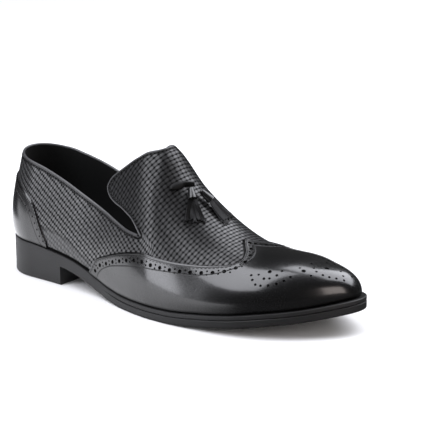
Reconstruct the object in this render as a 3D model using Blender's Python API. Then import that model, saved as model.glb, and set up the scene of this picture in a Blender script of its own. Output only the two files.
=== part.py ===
"""Tassel loafer for the right foot. Metres, +X to the toe, -Y to the outer side, +Z up.

The upper is a hollow skin over a shoe last. The last is a row of cross-sections, LAST, worked out from the
length, ball width, instep rise and heel height. Two half-sections, the ribs, run from the feather edge,
where the upper meets the sole, up to the ridge. Every other piece is placed on the same ribs.
"""

import math
from collections import namedtuple

import bmesh
import bpy
from mathutils import Matrix, Vector

MM = 0.001

# Driving sizes
SOLE_LENGTH = 300 * MM
BALL_WIDTH = 94 * MM  # across the feather edge
HEEL_SEAT = 27.6 * MM  # floor to the feather edge at the back of the heel
INSTEP_RISE = 112 * MM  # feather edge to the top of the last's cone
WALL_BULGE = 4.5 * MM  # how far the heel stands out past its feather edge
BULGE_HEIGHT = 20 * MM  # where the wall stands out most
WALL = 2.0 * MM  # leather and lining of the upper
GAP = 0.3 * MM  # between pieces that meet
SHARP_ANGLE = math.radians(40)

# Sole
WELT_THICK = 3.0 * MM
OUTSOLE_THICK = 5.4 * MM
INSOLE_THICK = 2.5 * MM
INSOLE_INSET = 3.4 * MM
HEEL_LENGTH = 64 * MM
HEEL_TAPER = 0.2 * MM
EDGE_ROUND = 0.7 * MM

# Overlays, trim and tassels
OVERLAY = 1.0 * MM
OVERLAY_GAP = 0.8 * MM
OVERLAY_FOOT = 1.2 * MM  # clear height of an overlay above the feather edge
PIPING_RADIUS = 1.2 * MM
THONG_WIDTH = 4.4 * MM
THONG_THICK = 1.2 * MM
FRINGE_STRIPS = 10
FRINGE_UNEVEN = 1.4 * MM  # how far the tips of the strips differ in length

# Places along the sole, as shares of its length, from the back of the heel
HEEL_BACK = 0.006
HEEL_AXIS = 0.115
TOE_TIP = 0.979
NOTCH = 0.496  # where the collar meets the tab
NOTCH_RIDGE = 0.540  # the ridge end of the line across the vamp from notch to notch
SLANT_END = 0.64
TOE_PLAN_ROUND = 0.105
TOE_SIDE_ROUND = 0.130

# Rows and stations of the skins
NOTCH_AROUND = 0.292
QUARTER_ROWS = 6
TAB_ROWS = 8
TAB_DEPTH = 9
VAMP_STATIONS = 22
QUARTER_STATIONS = 15
FAN_STATIONS = 6
COUNTER_ROWS = 6
COUNTER_STATIONS = 4
SOLE_STATIONS = 26
HEEL_STATIONS = 8
THONG_STATIONS = 16
WING_ROWS = 19
WING_STATIONS = 18

LATERAL, MEDIAL = -1, 1

# Colours
WOVEN_LEATHER = (0.035, 0.036, 0.04)
CALF_LEATHER = (0.02, 0.02, 0.022)
TASSEL_LEATHER = (0.018, 0.018, 0.02)
SOCK_LEATHER = (0.02, 0.02, 0.02)
RUBBER = (0.03, 0.031, 0.034)

# Cross-sections of the last. along: share of SOLE_LENGTH. lateral, medial and ridge: reach to each side and
# place of the ridge from the middle, shares of half of BALL_WIDTH. seat: share of HEEL_SEAT. rise: share of
# INSTEP_RISE. lean: how far the wall slopes in. full: under 1 for a squarer shoulder. bulge: share of
# WALL_BULGE.
Section = namedtuple("Section", "along lateral medial ridge seat rise lean full bulge")
LAST = [
    Section(0.006, 0.625, 0.625, 0.00, 1.000, 0.975, 0.16, 0.80, 0.72),
    Section(0.115, 0.640, 0.625, 0.00, 0.942, 0.980, 0.22, 0.85, 0.72),
    Section(0.200, 0.672, 0.665, 0.00, 0.845, 0.990, 0.24, 0.90, 0.70),
    Section(0.250, 0.702, 0.660, 0.00, 0.768, 0.998, 0.27, 0.93, 0.65),
    Section(0.300, 0.742, 0.630, 0.01, 0.638, 1.000, 0.30, 0.95, 0.60),
    Section(0.350, 0.796, 0.597, 0.00, 0.480, 1.000, 0.31, 0.97, 0.57),
    Section(0.400, 0.889, 0.580, -0.01, 0.375, 1.000, 0.31, 1.00, 0.55),
    Section(0.450, 0.981, 0.600, -0.02, 0.325, 0.984, 0.28, 1.00, 0.52),
    Section(0.500, 1.057, 0.680, -0.03, 0.315, 0.905, 0.23, 1.00, 0.50),
    Section(0.550, 1.102, 0.760, -0.05, 0.315, 0.732, 0.17, 1.00, 0.47),
    Section(0.600, 1.110, 0.836, -0.06, 0.325, 0.588, 0.11, 1.00, 0.45),
    Section(0.690, 1.074, 0.895, -0.09, 0.410, 0.390, 0.03, 0.96, 0.40),
    Section(0.760, 1.000, 0.910, -0.10, 0.500, 0.304, 0.00, 0.92, 0.40),
    Section(0.830, 0.836, 0.858, -0.10, 0.620, 0.262, 0.00, 0.88, 0.40),
    Section(0.900, 0.566, 0.690, -0.09, 0.736, 0.222, 0.00, 0.86, 0.40),
    Section(0.987, 0.200, 0.560, -0.05, 0.935, 0.206, 0.00, 0.86, 0.40),
]

# How far the sole stands out past the feather edge, in millimetres.
Ledge = namedtuple("Ledge", "along reach")
LEDGE = [
    Ledge(0.000, 1.4),
    Ledge(0.250, 1.6),
    Ledge(0.450, 2.8),
    Ledge(0.620, 3.6),
    Ledge(0.900, 3.9),
    Ledge(0.979, 5.3),
]

# Height of the upper's rim above the floor, in millimetres.
Collar = namedtuple("Collar", "along height")
COLLAR = [
    Collar(0.006, 88.4),
    Collar(0.060, 85.6),
    Collar(0.115, 83.2),
    Collar(0.200, 76.5),
    Collar(0.300, 66.2),
    Collar(0.400, 56.8),
    Collar(0.450, 53.6),
    Collar(0.496, 52.9),
]

# Outline of the tab, as places and shares of the way round the section: up its side edge from the notch to
# the corner, and over its top edge from the corner to the ridge.
Edge = namedtuple("Edge", "along place around")
TAB_SIDE = [
    Edge(0.00, 0.496, 0.292),
    Edge(0.30, 0.452, 0.336),
    Edge(0.55, 0.418, 0.350),
    Edge(0.80, 0.377, 0.360),
    Edge(0.93, 0.359, 0.378),
    Edge(1.00, 0.353, 0.400),
]
TAB_TOP = [
    Edge(0.00, 0.353, 0.400),
    Edge(0.10, 0.360, 0.436),
    Edge(0.35, 0.413, 0.565),
    Edge(0.60, 0.459, 0.695),
    Edge(0.80, 0.488, 0.825),
    Edge(0.92, 0.5005, 0.925),
    Edge(1.00, 0.5030, 1.000),
]

# Rear edge of the wingtip, from the outer feather edge (around 0) to the beak on the ridge (around 1).
Wing = namedtuple("Wing", "along place")
WING = [
    Wing(0.000, 0.318),
    Wing(0.020, 0.325),
    Wing(0.081, 0.348),
    Wing(0.120, 0.383),
    Wing(0.151, 0.417),
    Wing(0.205, 0.489),
    Wing(0.278, 0.564),
    Wing(0.347, 0.618),
    Wing(0.436, 0.668),
    Wing(0.529, 0.708),
    Wing(0.618, 0.734),
    Wing(0.726, 0.743),
    Wing(0.826, 0.735),
    Wing(0.920, 0.718),
    Wing(1.000, 0.702),
]

# Top edge of the counter: share of the way round the section, from the back of the heel forward.
Counter = namedtuple("Counter", "along around")
COUNTER = [Counter(0.006, 0.275), Counter(0.060, 0.240), Counter(0.115, 0.190), Counter(0.168, 0.035)]

# Rings of a tassel from the top of the cap to the tips: along it, half width and half depth in millimetres,
# and depth of the strips as a share of both.
Ring = namedtuple("Ring", "along wide deep strip")
TASSEL = [
    Ring(0.00, 1.6, 1.6, 0.00),
    Ring(0.03, 2.7, 2.6, 0.00),
    Ring(0.14, 3.2, 3.0, 0.00),
    Ring(0.18, 2.6, 2.5, 0.00),
    Ring(0.22, 3.2, 3.0, 0.00),
    Ring(0.34, 3.3, 3.0, 0.00),
    Ring(0.37, 3.7, 2.8, 0.10),
    Ring(0.60, 5.6, 2.7, 0.15),
    Ring(0.82, 7.4, 2.4, 0.18),
    Ring(1.00, 8.0, 2.1, 0.18),
]

# Runs of the tassels and of their thong over the vamp, as places and shares of the way across.
TASSEL_RUNS = {
    "tassel_lateral": ((0.566, 0.892), (0.613, 0.718)),
    "tassel_medial": ((0.578, 0.980), (0.644, 1.100)),
}
THONG_RUN = ((0.541, 0.700), (0.563, 0.990))

Rib = namedtuple("Rib", "base core seat rise lean full bulge")


def smooth(rows, column, at):
    """One column of a table at a place along it, on a smooth curve that does not overshoot the rows."""
    places = [row.along for row in rows]
    values = [getattr(row, column) for row in rows]
    if at <= places[0]:
        return values[0]
    if at >= places[-1]:
        return values[-1]
    steps = [(b - a) / (q - p) for a, b, p, q in zip(values, values[1:], places, places[1:])]
    i = next(k for k in range(len(steps)) if at <= places[k + 1])

    def slope(k):
        if k == 0 or k == len(steps):
            return steps[min(k, len(steps) - 1)]
        before, after = steps[k - 1], steps[k]
        return 2 * before * after / (before + after) if before * after > 0 else 0.0

    gap = places[i + 1] - places[i]
    u = (at - places[i]) / gap
    return (
        values[i] * (1 + 2 * u) * (1 - u) ** 2
        + values[i + 1] * u * u * (3 - 2 * u)
        + slope(i) * gap * u * (1 - u) ** 2
        + slope(i + 1) * gap * u * u * (u - 1)
    )


def place(along):
    """X of a share of the sole's length."""
    return (along - 0.5) * SOLE_LENGTH


def share(x):
    """Share of the sole's length at an X."""
    return x / SOLE_LENGTH + 0.5


def toe_round(along, reach):
    """Falls from 1 to 0 on a quarter circle over the last stretch before the toe."""
    left = min(1.0, max(0.0, (TOE_TIP - along) / reach))
    return math.sqrt(1 - (1 - left) ** 2)


def rib_at(base, core, along):
    """A rib from a foot point to the middle of the last, with the table's values at a place."""
    return Rib(
        base,
        core,
        smooth(LAST, "seat", along) * HEEL_SEAT,
        smooth(LAST, "rise", along) * INSTEP_RISE * toe_round(along, TOE_SIDE_ROUND),
        smooth(LAST, "lean", along),
        smooth(LAST, "full", along),
        smooth(LAST, "bulge", along) * WALL_BULGE,
    )


def side_rib(side, along):
    """Half of the cross-section at a place from the middle of the heel to the toe."""
    unit = BALL_WIDTH / 2
    lateral, medial = smooth(LAST, "lateral", along) * unit, smooth(LAST, "medial", along) * unit
    middle, half = (medial - lateral) / 2, (medial + lateral) / 2
    width = toe_round(along, TOE_PLAN_ROUND)
    base = Vector((place(along), middle + side * half * width, 0))
    core = Vector((place(along), middle + smooth(LAST, "ridge", along) * unit * width, 0))
    return rib_at(base, core, along)


def heel_rib(side, turn):
    """A rib that fans round the heel: turn 0 is straight back, and 1 is the side rib at HEEL_AXIS."""
    beside = side_rib(side, HEEL_AXIS)
    depth = (HEEL_AXIS - HEEL_BACK) * SOLE_LENGTH
    angle = turn * math.pi / 2
    out = (beside.base.y - beside.core.y) * math.sin(angle)
    base = Vector((beside.base.x - depth * math.cos(angle), beside.core.y + out, 0))
    return rib_at(base, beside.core, share(base.x))


def on_rib(rib, around):
    """The point of the last's surface on a rib: around 0 is the feather edge, and 1 is the ridge."""
    angle = around * math.pi / 2
    lift = rib.rise * math.sin(angle)
    inward = 1 - max(0.0, math.cos(angle)) ** rib.full * (1 - rib.lean * math.sin(angle))
    puff = rib.bulge * lift / BULGE_HEIGHT * math.exp(1 - lift / BULGE_HEIGHT) * math.cos(angle)
    reach = rib.base - rib.core
    out = reach.normalized() if reach.length > 0 else Vector((1, 0, 0))
    point = rib.base.lerp(rib.core, inward) + out * puff
    point.z = rib.seat + lift
    return point


def around_at(rib, lift):
    """How far round a rib a height above the feather edge is reached."""
    return math.asin(min(1.0, lift / rib.rise)) * 2 / math.pi if rib.rise > lift else 0.0


def skin(along, across):
    """A point of the last: across 0 is the outer feather edge, 1 the ridge, 2 the inner feather edge."""
    side = LATERAL if across <= 1 else MEDIAL
    return on_rib(side_rib(side, along), across if across <= 1 else 2 - across)


def facing(along, across):
    """The way the last faces at a point."""
    step = 0.004
    ahead = skin(along + step, across) - skin(along - step, across)
    over = skin(along, min(2.0, across + step)) - skin(along, max(0.0, across - step))
    return ahead.cross(over).normalized()


def collar_around(rib, along):
    """How far round a rib the upper's rim is."""
    return around_at(rib, smooth(COLLAR, "height", along) * MM - rib.seat)


def finish(name, bm, colour, roughness, coat=0.0):
    """Turns a mesh into an object with its own material."""
    bmesh.ops.recalc_face_normals(bm, faces=bm.faces)
    mesh = bpy.data.meshes.new(name)
    bm.to_mesh(mesh)
    bm.free()
    mesh.shade_smooth()
    mesh.set_sharp_from_angle(angle=SHARP_ANGLE)
    material = bpy.data.materials.new(name)
    material.use_nodes = True
    shader = material.node_tree.nodes["Principled BSDF"]
    shader.inputs["Base Color"].default_value = (*colour, 1)
    shader.inputs["Roughness"].default_value = roughness
    shader.inputs["Coat Weight"].default_value = coat
    mesh.materials.append(material)
    thing = bpy.data.objects.new(name, mesh)
    bpy.context.scene.collection.objects.link(thing)
    return thing


def thicken(thing, thickness, outward):
    """Gives an open skin its thickness, to the outside or to the inside."""
    solidify = thing.modifiers.new("thickness", "SOLIDIFY")
    solidify.thickness = thickness
    solidify.offset = 1 if outward else -1
    solidify.use_even_offset = True


def sheet(bm, rows):
    """Faces between rows of vertices. Where neighbours are one vertex, the face is a triangle."""
    for low, high in zip(rows, rows[1:]):
        for a, b, c, d in zip(low, low[1:], high[1:], high):
            corners = list(dict.fromkeys((a, b, c, d)))
            if len(corners) > 2:
                bm.faces.new(corners)


def loft(rings, chain):
    """A closed body through rings of points. With a chain, the ends are capped by strips between the ring's
    two sides; chain is the number of points from the back of the ring to the end of its outer side."""
    bm = bmesh.new()
    loops = [[bm.verts.new(point) for point in ring] for ring in rings]
    sheet(bm, [loop + loop[:1] for loop in loops])
    for loop in (loops[0], loops[-1]):
        if chain:
            outer = loop[:chain]
            inner = loop[:1] + loop[chain:][::-1]
            inner += outer[len(inner):]
            sheet(bm, [outer, inner])
        else:
            bm.faces.new(loop)
    return bm


def line_of(a, b, count):
    """Evenly spaced values from a to b."""
    return [a + (b - a) * k / count for k in range(count + 1)]


def gather(u):
    """Spaces stations from 0 to 1, closer together toward the toe."""
    return math.sin(u * math.pi / 2) ** 1.1


# The upper


def row_around(k):
    """How far round the section a row is, from the feather edge through the notch to the ridge."""
    if k <= QUARTER_ROWS:
        return NOTCH_AROUND * k / QUARTER_ROWS
    return NOTCH_AROUND + (1 - NOTCH_AROUND) * (k - QUARTER_ROWS) / TAB_ROWS


def vamp_place(station, around):
    """Place along the sole of a vamp station. The stations slant back from the ridge near the notch."""
    along = NOTCH + (TOE_TIP - NOTCH) * gather(station / VAMP_STATIONS)
    slant = (NOTCH_RIDGE - NOTCH) * max(0.0, 1 - (along - NOTCH) / (SLANT_END - NOTCH))
    return along + slant * max(0.0, (around - NOTCH_AROUND) / (1 - NOTCH_AROUND))


def tab_place(depth, up):
    """Place and share of the way round on the tab: depth 0 is the line from notch to notch, 1 the tab's top
    edge; up 0 is its side edge, and 1 the ridge."""

    def front(w):
        around = NOTCH_AROUND + (1 - NOTCH_AROUND) * w
        return Vector((vamp_place(0, around), around))

    def edge(rows, u):
        return Vector((smooth(rows, "place", u), smooth(rows, "around", u)))

    top, side = edge(TAB_TOP, up), edge(TAB_SIDE, depth)
    ridge = front(1).lerp(edge(TAB_TOP, 1), depth)
    ruled = front(up).lerp(top, depth) + side.lerp(ridge, up)
    corners = front(0).lerp(edge(TAB_TOP, 0), depth).lerp(ridge, up)
    return ruled - corners


def quarter_ribs(side):
    """Ribs from the notch back to the middle of the heel, with the place of each along the sole."""
    ribs = [(side_rib(side, along), along) for along in line_of(NOTCH, HEEL_AXIS, QUARTER_STATIONS)]
    fan = [heel_rib(side, turn) for turn in line_of(1.0, 0.0, FAN_STATIONS)[1:]]
    return ribs + [(rib, share(rib.base.x)) for rib in fan]


def build_upper():
    """The skin of the upper: vamp, tab and quarters. Also gives the edges of the tab and of the collar, each
    as pairs of an edge point and the point one row in from it."""
    bm = bmesh.new()
    ridge_row = QUARTER_ROWS + TAB_ROWS
    rows = 2 * ridge_row + 1
    across = [row_around(k) if k <= ridge_row else 2 - row_around(2 * ridge_row - k) for k in range(rows)]
    vamp = []
    for station in range(VAMP_STATIONS):
        around = [row_around(min(k, 2 * ridge_row - k)) for k in range(rows)]
        vamp.append([bm.verts.new(skin(vamp_place(station, r), q)) for r, q in zip(around, across)])
    tip = bm.verts.new(skin(TOE_TIP, 0))
    sheet(bm, vamp + [[tip] * rows])

    tab = [vamp[0][QUARTER_ROWS:rows - QUARTER_ROWS]]
    for depth in range(1, TAB_DEPTH + 1):
        half = [tab_place(depth / TAB_DEPTH, up / TAB_ROWS) for up in range(TAB_ROWS + 1)]
        spots = [(p.x, p.y) for p in half] + [(p.x, 2 - p.y) for p in half[-2::-1]]
        tab.append([bm.verts.new(skin(*spot)) for spot in spots])
    sheet(bm, tab)

    back = None
    collar = []
    for side in (LATERAL, MEDIAL):
        start = vamp[0][:QUARTER_ROWS + 1] if side == LATERAL else vamp[0][:-QUARTER_ROWS - 2:-1]
        columns = [start]
        for rib, along in quarter_ribs(side)[1:]:
            top = collar_around(rib, along)
            spots = [on_rib(rib, top * k / QUARTER_ROWS) for k in range(QUARTER_ROWS + 1)]
            columns.append([bm.verts.new(spot) for spot in spots])
        if back:
            bmesh.ops.delete(bm, geom=columns.pop(), context="VERTS")
            columns.append(back)
        back = columns[-1]
        sheet(bm, columns)
        collar.append([(column[-1].co.copy(), column[-2].co.copy()) for column in columns])
    up_side = [(row[0].co.copy(), row[1].co.copy()) for row in tab]
    over_top = [(a.co.copy(), b.co.copy()) for a, b in zip(tab[-1], tab[-2])]
    down_side = [(row[-1].co.copy(), row[-2].co.copy()) for row in tab[::-1]]
    edges = up_side + over_top[1:-1] + down_side, collar[0] + collar[1][-2::-1]
    thicken(finish("upper", bm, WOVEN_LEATHER, 0.42), WALL, False)
    return edges


# The sole


def sole_chain(side, end):
    """Ribs of one side of the sole from the back of the heel to an end."""
    fan = [heel_rib(side, turn) for turn in line_of(0.0, 1.0, FAN_STATIONS + 1)[:-1]]
    run = line_of(HEEL_AXIS, end, HEEL_STATIONS)
    if end == TOE_TIP:
        run = [HEEL_AXIS + (end - HEEL_AXIS) * gather(k / SOLE_STATIONS) for k in range(SOLE_STATIONS + 1)]
    return fan + [side_rib(side, along) for along in run]


def sole_ring(end, outset, height):
    """One ring round the sole or the heel. outset and height are functions of the place along the sole."""
    outer, inner = sole_chain(LATERAL, end), sole_chain(MEDIAL, end)
    ribs = outer + inner[::-1][1 if end == TOE_TIP else 0:-1]
    ring = []
    for i, rib in enumerate(ribs):
        run = ribs[(i + 1) % len(ribs)].base - ribs[i - 1].base
        out = Vector((run.y, -run.x, 0)).normalized()
        along = share(rib.base.x)
        if end != TOE_TIP and along >= end - 1e-6:
            out = Vector((0, math.copysign(1, rib.base.y), 0))
        point = rib.base + out * outset(along)
        point.z = height(along)
        ring.append(point)
    return ring, len(outer)


def seat(along):
    return smooth(LAST, "seat", along) * HEEL_SEAT


def ledge(along):
    return smooth(LEDGE, "reach", along) * MM


def welt_bottom(along):
    return seat(along) - GAP - WELT_THICK


def outsole_bottom(along):
    return max(0.0, welt_bottom(along) - GAP - OUTSOLE_THICK)


def plate(name, end, layers, colour, roughness):
    """A layer of the sole, through rings that each have an outset and a height."""
    rings = [sole_ring(end, outset, height) for outset, height in layers]
    finish(name, loft([ring for ring, _ in rings], rings[0][1]), colour, roughness)


def rounded(top, bottom, reach):
    """The four rings of a plate with its edges broken."""
    return [
        (lambda a: reach(a) - EDGE_ROUND, top),
        (reach, lambda a: top(a) - EDGE_ROUND),
        (reach, lambda a: bottom(a) + EDGE_ROUND),
        (lambda a: reach(a) - EDGE_ROUND, bottom),
    ]


def build_sole():
    plate("welt", TOE_TIP, rounded(lambda a: seat(a) - GAP, welt_bottom, ledge), RUBBER, 0.55)
    plate("outsole", TOE_TIP, rounded(lambda a: welt_bottom(a) - GAP, outsole_bottom, ledge), RUBBER, 0.6)
    insole = [(lambda a: -INSOLE_INSET, lambda a: seat(a) + INSOLE_THICK), (lambda a: -INSOLE_INSET, seat)]
    plate("insole", TOE_TIP, insole, SOCK_LEATHER, 0.7)
    heel = [
        (ledge, lambda a: outsole_bottom(a) - GAP),
        (lambda a: ledge(a) - HEEL_TAPER, lambda a: EDGE_ROUND),
        (lambda a: ledge(a) - HEEL_TAPER - EDGE_ROUND, lambda a: 0.0),
    ]
    plate("heel", HEEL_LENGTH / SOLE_LENGTH, heel, RUBBER, 0.55)


# Overlays


def overlay(name, bm):
    """A piece that lies on the upper at OVERLAY_GAP."""
    thing = finish(name, bm, CALF_LEATHER, 0.28, 0.4)
    displace = thing.modifiers.new("gap", "DISPLACE")
    displace.mid_level = 0
    displace.strength = OVERLAY_GAP
    thicken(thing, OVERLAY, True)


def build_wingtip():
    bm = bmesh.new()
    rows = []
    for k in range(2 * WING_ROWS + 1):
        share_up = (min(k, 2 * WING_ROWS - k) / WING_ROWS) ** 1.5
        side = LATERAL if k <= WING_ROWS else MEDIAL
        edge = smooth(WING, "place", share_up)
        row = []
        for step in range(WING_STATIONS):
            rib = side_rib(side, edge + (TOE_TIP - edge) * gather(step / WING_STATIONS))
            foot = around_at(rib, OVERLAY_FOOT * min(1.0, rib.rise / (6 * OVERLAY_FOOT)))
            row.append(bm.verts.new(on_rib(rib, foot + (1 - foot) * share_up)))
        rows.append(row)
    tip = bm.verts.new(skin(TOE_TIP, 0))
    sheet(bm, [row + [tip] for row in rows])
    overlay("wingtip", bm)


def build_counter():
    bm = bmesh.new()
    front = COUNTER[-1].along
    sides = []
    for side in (LATERAL, MEDIAL):
        ribs = [heel_rib(side, turn) for turn in line_of(0.0, 1.0, FAN_STATIONS)]
        run = line_of(HEEL_AXIS, front, COUNTER_STATIONS)[1:]
        sides.append(ribs + [side_rib(side, along) for along in run])
    rows = []
    for rib in sides[0][::-1] + sides[1][1:]:
        foot, top = around_at(rib, OVERLAY_FOOT), smooth(COUNTER, "around", share(rib.base.x))
        rows.append([bm.verts.new(on_rib(rib, around)) for around in line_of(foot, top, COUNTER_ROWS)])
    sheet(bm, rows)
    overlay("counter", bm)


# Pipings, tassels and thong


def tube(name, points, radius):
    """A round bar along points."""
    sides = 8
    rings = []
    up = Vector((0, 0, 1))
    for i, point in enumerate(points):
        run = (points[min(i + 1, len(points) - 1)] - points[max(i - 1, 0)]).normalized()
        up = (up - run * up.dot(run)).normalized()
        across = run.cross(up)
        turns = [2 * math.pi * k / sides for k in range(sides)]
        rings.append([point + (up * math.cos(turn) + across * math.sin(turn)) * radius for turn in turns])
    finish(name, loft(rings, 0), CALF_LEATHER, 0.35)


def build_pipings(tab_edge, collar_edge):
    """The tab's binding runs from notch to notch. The collar's stops where it would touch it."""
    lines = []
    for edge in (tab_edge, collar_edge):
        line = []
        for i, (rim, inside) in enumerate(edge):
            run = (edge[min(i + 1, len(edge) - 1)][0] - edge[max(i - 1, 0)][0]).normalized()
            out = rim - inside
            out = (out - run * out.dot(run)).normalized()
            inner = run.cross(out)
            if inner.dot(Vector((place(0.3), 0, HEEL_SEAT)) - rim) < 0:
                inner.negate()
            line.append(rim + inner * WALL / 2 + out * (PIPING_RADIUS + GAP))
        lines.append(line)
    tab_line = lines[0][1:-1]
    clear = 2 * PIPING_RADIUS + 3 * GAP
    collar_line = [p for p in lines[1] if min((p - q).length for q in lines[0]) > clear]
    tube("tab_piping", tab_line, PIPING_RADIUS)
    tube("collar_piping", collar_line, PIPING_RADIUS)


def build_tassel(name, start, end):
    """A capped tassel lying on the vamp. Its fringe is one solid with the strips as ribs."""
    count = 4 * FRINGE_STRIPS
    rings = []
    start, end = Vector(start), Vector(end)
    run = (skin(*end) - skin(*start)).normalized()
    for ring in TASSEL:
        spot = start.lerp(end, ring.along)
        face = facing(*spot)
        side = face.cross(run).normalized()
        centre = skin(*spot) + face * (ring.deep * (1 + ring.strip) * MM + 3 * GAP)
        points = []
        for k in range(count):
            turn = 2 * math.pi * k / count
            swell = 1 + ring.strip * math.cos(turn * FRINGE_STRIPS)
            reach = side * ring.wide * math.cos(turn) + face * ring.deep * math.sin(turn)
            point = centre + reach * MM * swell
            if ring is TASSEL[-1]:
                strip = math.floor(k / count * FRINGE_STRIPS + 0.5)
                point += run * FRINGE_UNEVEN * math.sin(2.3 * strip)
            points.append(point)
        rings.append(points)
    finish(name, loft(rings, 0), TASSEL_LEATHER, 0.45)


def build_thong():
    rings = []
    for k in range(THONG_STATIONS + 1):
        spot = Vector(THONG_RUN[0]).lerp(Vector(THONG_RUN[1]), k / THONG_STATIONS)
        face = facing(*spot)
        ahead = Vector((1, 0, 0))
        ahead = (ahead - face * ahead.dot(face)).normalized()
        low = skin(*spot) + face * GAP
        half = THONG_WIDTH / 2 * (0.55 if k in (0, THONG_STATIONS) else 1)
        rings.append([low + ahead * half + face * h for h in (0, THONG_THICK)])
        rings[-1] += [low - ahead * half + face * h for h in (THONG_THICK, 0)]
    finish("tassel_thong", loft(rings, 0), TASSEL_LEATHER, 0.45)


def centre_on_floor():
    """Moves everything so that the middle of the whole shoe's outline is over the origin."""
    bpy.context.view_layer.update()
    graph = bpy.context.evaluated_depsgraph_get()
    corners = []
    for thing in bpy.context.scene.objects:
        mesh = thing.evaluated_get(graph).to_mesh()
        corners += [v.co.copy() for v in mesh.vertices]
        thing.evaluated_get(graph).to_mesh_clear()
    middle = [(min(c[axis] for c in corners) + max(c[axis] for c in corners)) / 2 for axis in (0, 1)]
    for thing in bpy.context.scene.objects:
        thing.data.transform(Matrix.Translation((-middle[0], -middle[1], 0)))


for old in list(bpy.data.objects):
    bpy.data.objects.remove(old)
build_sole()
tab_edge, collar_edge = build_upper()
build_wingtip()
build_counter()
build_pipings(tab_edge, collar_edge)
for tassel, (start, end) in TASSEL_RUNS.items():
    build_tassel(tassel, start, end)
build_thong()
centre_on_floor()
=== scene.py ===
"""Looks of a black tassel loafer: woven-embossed leather, polished wingtip with punched holes, rubber sole.

Every piece is laid on the same shoe last as the solids. The last is a row of cross-sections whose two
halves, the ribs, run from the feather edge, where the upper meets the sole, up to the ridge.
"""

import math
from collections import namedtuple

import bmesh
import bpy
from mathutils import Matrix, Vector
from mathutils.kdtree import KDTree


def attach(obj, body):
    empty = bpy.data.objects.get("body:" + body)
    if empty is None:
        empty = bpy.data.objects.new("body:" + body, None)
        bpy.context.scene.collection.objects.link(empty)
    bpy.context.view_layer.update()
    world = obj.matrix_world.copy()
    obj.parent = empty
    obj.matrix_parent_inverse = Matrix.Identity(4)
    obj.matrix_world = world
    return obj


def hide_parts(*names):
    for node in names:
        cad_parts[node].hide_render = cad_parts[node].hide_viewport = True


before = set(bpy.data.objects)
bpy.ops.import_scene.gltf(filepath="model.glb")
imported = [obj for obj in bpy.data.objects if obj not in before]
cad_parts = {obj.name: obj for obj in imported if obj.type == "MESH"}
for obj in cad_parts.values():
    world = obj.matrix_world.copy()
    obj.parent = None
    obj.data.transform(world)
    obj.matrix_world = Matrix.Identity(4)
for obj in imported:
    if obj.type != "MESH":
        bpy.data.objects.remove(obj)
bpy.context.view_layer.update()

MM = 0.001

# Camera, at the photograph's angle
AZIMUTH = 38.547
ELEVATION = 15.800
ROLL = 0.437
DISTANCE = 1.5352
LENS = 182.19
SENSOR = 36
AIM = Vector((0.03595, 0.00460, 0.06154))

# Sizes of the last and of the pieces on it
SOLE_LENGTH = 300 * MM
BALL_WIDTH = 94 * MM
HEEL_SEAT = 27.6 * MM
INSTEP_RISE = 112 * MM
WALL_BULGE = 4.5 * MM
BULGE_HEIGHT = 20 * MM
WALL = 2.0 * MM
GAP = 0.3 * MM
WELT_THICK = 3.0 * MM
OUTSOLE_THICK = 5.4 * MM
HEEL_LENGTH = 64 * MM
OVERLAY_TOP = 1.8 * MM  # face of an overlay above the woven skin
OVERLAY_THICK = 1.7 * MM
COUNTER_TOP = 1.1 * MM  # face of the counter above the woven skin
COUNTER_THICK = 1.0 * MM
OVERLAY_FOOT = 1.2 * MM
OVERLAY_ROLL = 1.2 * MM  # width of an overlay's rounded edge
ROLL_EDGE = 0.4  # height of that edge's foot, as a share of the overlay's
EDGE_STITCH = 1.8  # millimetres in from an overlay's edge
COUNTER_SEAM = 6.4  # millimetres in from the counter's edge
PIPING_RADIUS = 0.9 * MM
PIPING_RISE = 0.495 * MM  # middle of a binding above the rim
STITCH_SPACING = 2.9 * MM
STITCH_HALF = (1.05 * MM, 0.30 * MM, 0.22 * MM)  # half the length, width and height of a stitch
RIM_STITCH = 1.4 * MM  # below the upper's rim
HOLE_DEPTH = 1.1 * MM
BORDER_INSET = 4.9 * MM  # row of holes along the wingtip's edge
BORDER_SPACING = 8.2 * MM
BORDER_HOLE = 2.9 * MM
PAIR_HOLE = 1.4 * MM  # small holes between the border's large ones
PAIR_REACH = 1.25 * MM
COUNTER_INSET = 8.2 * MM  # row of holes along the counter's edge
COUNTER_SPACING = 5.0 * MM
COUNTER_HOLE = 1.3 * MM
CAP_LIFT = 3.9 * MM  # middle of a tassel's cap above the skin
CAP_END = 0.33  # share of a tassel's length where its strips begin
STRIP_THICK = 0.6 * MM
STRIP_HALF = 0.95 * MM  # half the width of a fringe strip
FRINGE_HALF, FRINGE_FAN = 1.9 * MM, 5.2 * MM  # half the fringe's width at the cap, and what it gains
FRINGE_LIFT, FRINGE_DROP = 1.1 * MM, 3.4 * MM  # height of the strips' ends, and their fall from the cap
LAYER_LIFT = 1.0 * MM  # every second strip lies this much higher
LACE_THICK = 1.2 * MM
LACE_HALF, LACE_TAIL = 2.3 * MM, 0.8 * MM  # half the lace's width in its leaf and behind it
LACE_LEAF = 0.62  # share of the lace's length that its leaf takes up
LACE_LIFT, LACE_CROWN = 1.5 * MM, 0.9 * MM  # height of its middle above the skin and above its edges
FLOOR_REACH = 6.0
MIDDLE = Vector((-1.538 * MM, -4.588 * MM, 0))  # middle of the shoe's outline in the last's own frame
WELD = 0.02 * MM
SHARP, SOLE_SHARP, FRINGE_SHARP = 40, 35, 50  # degrees between faces past which an edge shows

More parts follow.
